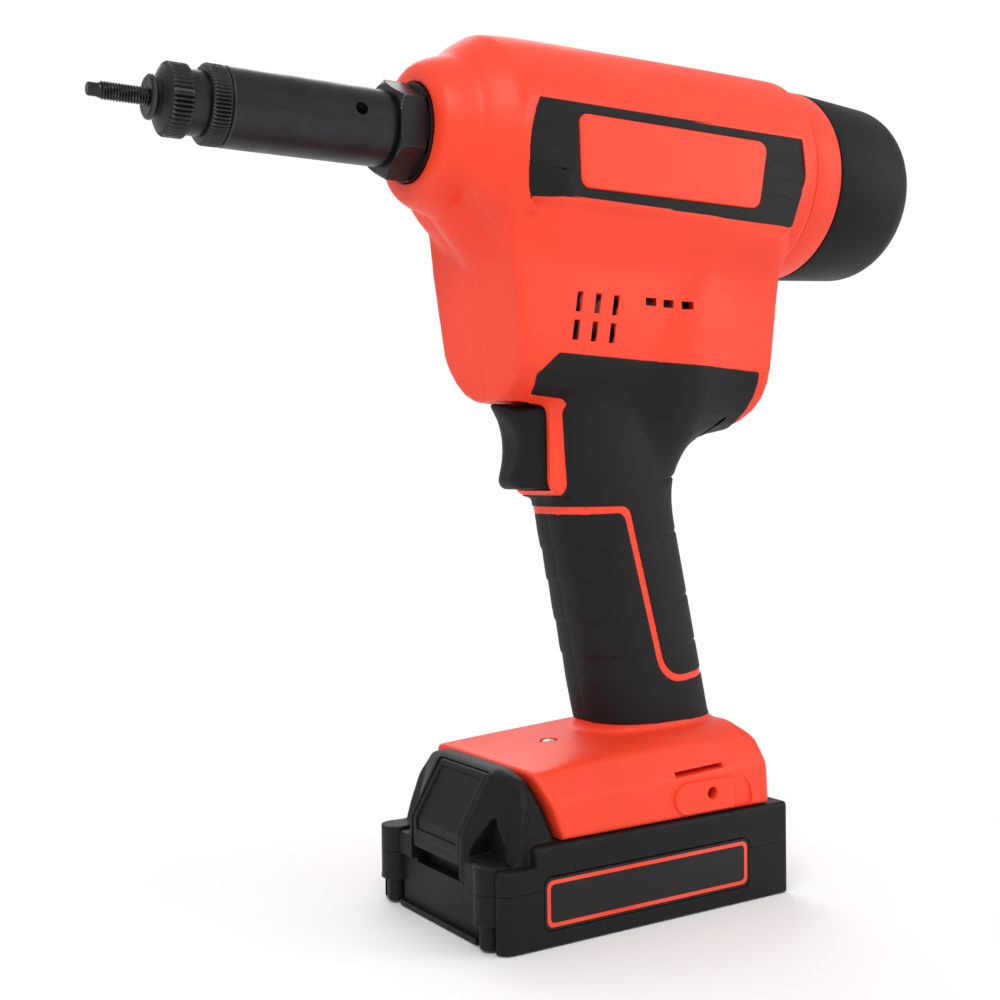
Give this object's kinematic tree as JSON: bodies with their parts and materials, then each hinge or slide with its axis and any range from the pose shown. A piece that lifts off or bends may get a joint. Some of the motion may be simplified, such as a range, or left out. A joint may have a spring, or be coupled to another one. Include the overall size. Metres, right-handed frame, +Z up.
{
  "type": "cordless rivet nut tool",
  "caption": "Pistol-shaped cordless tool that draws rivet nuts with a threaded mandrel, with a turning rear cap and a slide-on battery pack.",
  "frame": {"origin": "centre of the battery pack's flat underside", "axes": "+Z up, the nose points along -X, the tool's left side faces -Y"},
  "size_m": [0.2903, 0.075, 0.2765],
  "materials": {
    "orange_plastic": "satin moulded",
    "black_rubber": "matt moulded",
    "black_plastic": "fine grain",
    "label_plastic": "smooth",
    "black_steel": "blackened",
    "steel": "ground",
    "alloy": "machined",
    "winding": "wound copper",
    "brass": "plain",
    "circuit_board": "lacquered",
    "cell_wrap": "shrink wrap",
    "wire": "insulated",
    "lamp_lens": "moulded"
  },
  "bodies": {
    "tool": {"housing_left": "orange_plastic", "housing_right": "orange_plastic", "badge_left": "orange_plastic", "badge_right": "orange_plastic", "rear_ring": "orange_plastic", "grip_back_left": "black_rubber", "grip_back_right": "black_rubber", "grip_front_left": "black_rubber", "grip_front_right": "black_rubber", "side_panel_left": "black_rubber", "side_panel_right": "black_rubber", "housing_screws": "black_steel", "barrel": "black_steel", "nose_block": "steel", "draw_tube": "alloy", "thrust_bearing": "steel", "nut_bearing": "steel", "idler_pin": "steel", "gear_plate": "alloy", "motor_can": "black_steel", "motor_stator": "winding", "motor_end_bells": "black_plastic", "motor_bearings": "steel", "switch_body": "black_plastic", "control_board": "circuit_board", "terminal_block": "black_plastic", "terminal_blades": "brass", "power_leads": "wire", "work_light": "lamp_lens", "hook_inserts": "brass"},
    "draw": {"draw_spindle": "steel", "pull_head": "steel"},
    "mandrel": {"mandrel": "black_steel"},
    "anvil": {"anvil": "black_steel"},
    "lock_ring": {"lock_ring": "black_steel"},
    "nut": {"ball_nut": "steel", "nut_gear": "steel"},
    "idler": {"idler_gear": "steel"},
    "rotor": {"motor_rotor": "steel", "motor_pinion": "steel", "motor_fan": "black_plastic"},
    "rear_cap": {"rear_cap": "black_plastic"},
    "trigger": {"trigger": "black_plastic"},
    "battery": {"battery_tray": "black_plastic", "battery_cover": "black_plastic", "battery_cells": "cell_wrap", "cell_holders": "black_plastic", "cell_links": "steel", "battery_board": "circuit_board", "battery_terminals": "brass", "battery_screws": "black_steel", "battery_labels": "label_plastic"},
    "release": {"release_button": "black_plastic", "battery_latch": "steel"}
  },
  "joints": [
    {"name": "trigger_pull", "type": "slide", "parent": "tool", "child": "trigger", "axis": [1, 0, 0], "range_m": [0, 0.005], "stiffness_N_per_m": 1200, "springref_m": -0.003},
    {"name": "rotor_spin", "type": "hinge", "parent": "tool", "child": "rotor", "pos_m": [0, 0, 0.1925], "axis": [1, 0, 0], "range_deg": [0, 4329]},
    {"name": "idler_spin", "type": "hinge", "parent": "tool", "child": "idler", "pos_m": [0, 0, 0.2165], "axis": [1, 0, 0], "range_deg": [-1443, 0]},
    {"name": "nut_spin", "type": "hinge", "parent": "tool", "child": "nut", "pos_m": [0, 0, 0.2435], "axis": [1, 0, 0], "range_deg": [0, 505]},
    {"name": "draw_stroke", "type": "slide", "parent": "tool", "child": "draw", "axis": [1, 0, 0], "range_m": [0, 0.007]},
    {"name": "mandrel_spin", "type": "hinge", "parent": "draw", "child": "mandrel", "pos_m": [0, 0, 0.2435], "axis": [-1, 0, 0], "continuous": true},
    {"name": "anvil_turn", "type": "hinge", "parent": "tool", "child": "anvil", "pos_m": [0, 0, 0.2435], "axis": [-1, 0, 0], "continuous": true},
    {"name": "lock_ring_turn", "type": "hinge", "parent": "tool", "child": "lock_ring", "pos_m": [0, 0, 0.2435], "axis": [-1, 0, 0], "continuous": true},
    {"name": "rear_cap_twist", "type": "hinge", "parent": "tool", "child": "rear_cap", "pos_m": [0, 0, 0.242], "axis": [1, 0, 0], "range_deg": [0, 45]},
    {"name": "battery_slide", "type": "slide", "parent": "tool", "child": "battery", "axis": [-1, 0, 0], "range_m": [0, 0.1]},
    {"name": "button_press", "type": "slide", "parent": "battery", "child": "release", "axis": [0, 0, -1], "range_m": [0, 0.0035], "stiffness_N_per_m": 1500, "springref_m": -0.002}
  ],
  "couplings": [
    {"joint": "rotor_spin", "follows": "draw_stroke", "rad_per_m": 10771},
    {"joint": "idler_spin", "follows": "draw_stroke", "rad_per_m": -3590.4},
    {"joint": "nut_spin", "follows": "draw_stroke", "rad_per_m": 1256.6}
  ]
}
